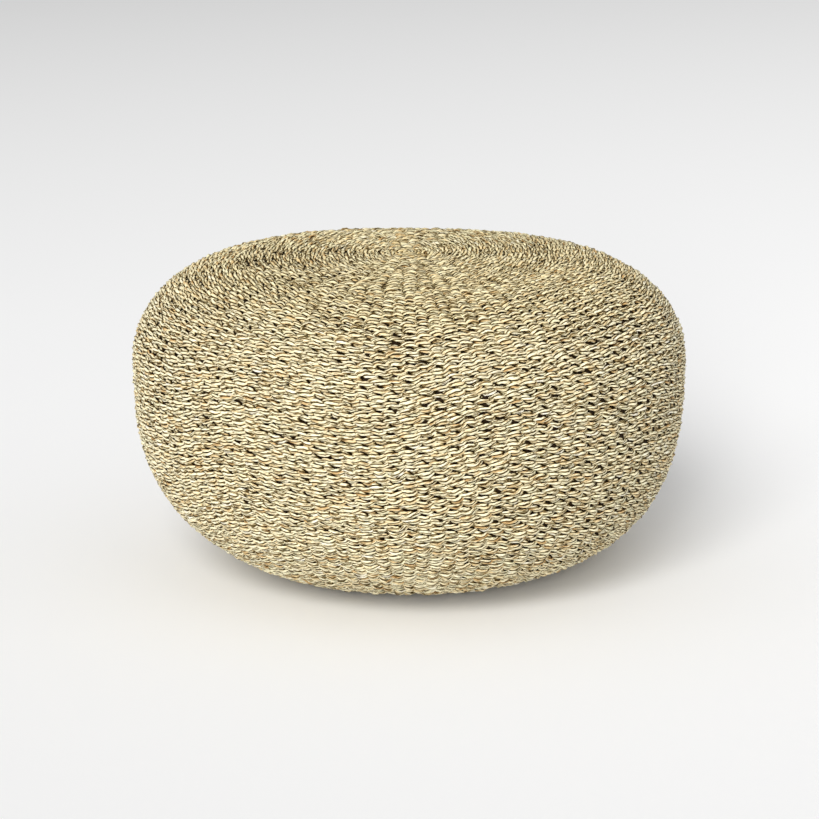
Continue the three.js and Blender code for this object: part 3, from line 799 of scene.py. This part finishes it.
coat, tree = new_material("satin_black_powder_coat")
place = add_node(tree, "ShaderNodeTexCoord")
peel = add_node(tree, "ShaderNodeTexNoise", {
    "Vector": place.outputs["Object"], "Scale": 1 / PEEL_SPACING, "Detail": 1.0})
bump = add_node(tree, "ShaderNodeBump", {"Height": peel.outputs[0], "Strength": 0.3, "Distance": PEEL_DEPTH})
surface = add_node(tree, "ShaderNodeBsdfPrincipled", {
    "Base Color": linear("#1d1d1e"), "Roughness": 0.45, "Normal": bump.outputs[0]})
add_node(tree, "ShaderNodeOutputMaterial", {"Surface": surface.outputs[0]})
for name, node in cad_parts.items():
    if name.startswith("rib_") or name.endswith("_ring") or name.startswith("base_bar_"):
        node.material_slots[0].material = coat

# Base board
# A round of thin plywood that closes the base and carries the glides, pressed up against
# the base ring. Dark stain on birch ply: open grain on its faces, its plies on the edge.
GRAIN_WIDTH = 1.6 * MM
GRAIN_LENGTH = 70 * MM
GRAIN_DEPTH = 0.2 * MM
PLY_THICKNESS = 1 * MM

ply, tree = new_material("dark_stained_plywood")
place = add_node(tree, "ShaderNodeTexCoord")
grain_place = add_node(tree, "ShaderNodeMapping", {
    "Vector": place.outputs["Object"], "Scale": (1 / GRAIN_LENGTH, 1 / GRAIN_WIDTH, 1 / PLY_THICKNESS)})
grain = add_node(tree, "ShaderNodeTexNoise", {
    "Vector": grain_place.outputs[0], "Scale": 1.0, "Detail": 4.0, "Distortion": 0.6})
colour = add_node(tree, "ShaderNodeValToRGB", {0: grain.outputs[0]})
fill_ramp(colour, [(0.3, linear("#2b2119")), (0.75, linear("#5b4634"))])
bump = add_node(tree, "ShaderNodeBump", {
    "Height": grain.outputs[0], "Strength": 0.35, "Distance": GRAIN_DEPTH})
surface = add_node(tree, "ShaderNodeBsdfPrincipled", {
    "Base Color": colour.outputs[0], "Roughness": 0.55, "Normal": bump.outputs[0]})
add_node(tree, "ShaderNodeOutputMaterial", {"Surface": surface.outputs[0]})
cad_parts["base_board"].material_slots[0].material = ply

# Glides
# Five low round feet that keep the weave off a wet floor, each held by one screw.
# Moulded black polyethylene: waxy, a little lighter where it is scuffed.
SCUFF_SPACING = 6 * MM

poly, tree = new_material("moulded_black_polyethylene")
place = add_node(tree, "ShaderNodeTexCoord")
scuffs = add_node(tree, "ShaderNodeTexNoise", {
    "Vector": place.outputs["Object"], "Scale": 1 / SCUFF_SPACING, "Detail": 6.0})
colour = add_node(tree, "ShaderNodeValToRGB", {0: scuffs.outputs[0]})
fill_ramp(colour, [(0.45, linear("#151516")), (0.8, linear("#3a3a3b"))])
surface = add_node(tree, "ShaderNodeBsdfPrincipled", {"Base Color": colour.outputs[0], "Roughness": 0.5})
add_node(tree, "ShaderNodeOutputMaterial", {"Surface": surface.outputs[0]})

# Their screws are bright zinc-plated steel, pan heads sunk into the glides.
PLATING_SPACING = 0.8 * MM

zinc, tree = new_material("bright_zinc_plated_steel")
place = add_node(tree, "ShaderNodeTexCoord")
plating = add_node(tree, "ShaderNodeTexNoise", {
    "Vector": place.outputs["Object"], "Scale": 1 / PLATING_SPACING})
roughness = add_node(tree, "ShaderNodeMapRange", {"Value": plating.outputs[0], "To Min": 0.22, "To Max": 0.4})
surface = add_node(tree, "ShaderNodeBsdfPrincipled", {
    "Base Color": linear("#c3c7cb"), "Metallic": 1.0, "Roughness": roughness.outputs[0]})
add_node(tree, "ShaderNodeOutputMaterial", {"Surface": surface.outputs[0]})
for name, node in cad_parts.items():
    if name.startswith("glide_screw_"):
        node.material_slots[0].material = zinc
    elif name.startswith("glide_"):
        node.material_slots[0].material = poly
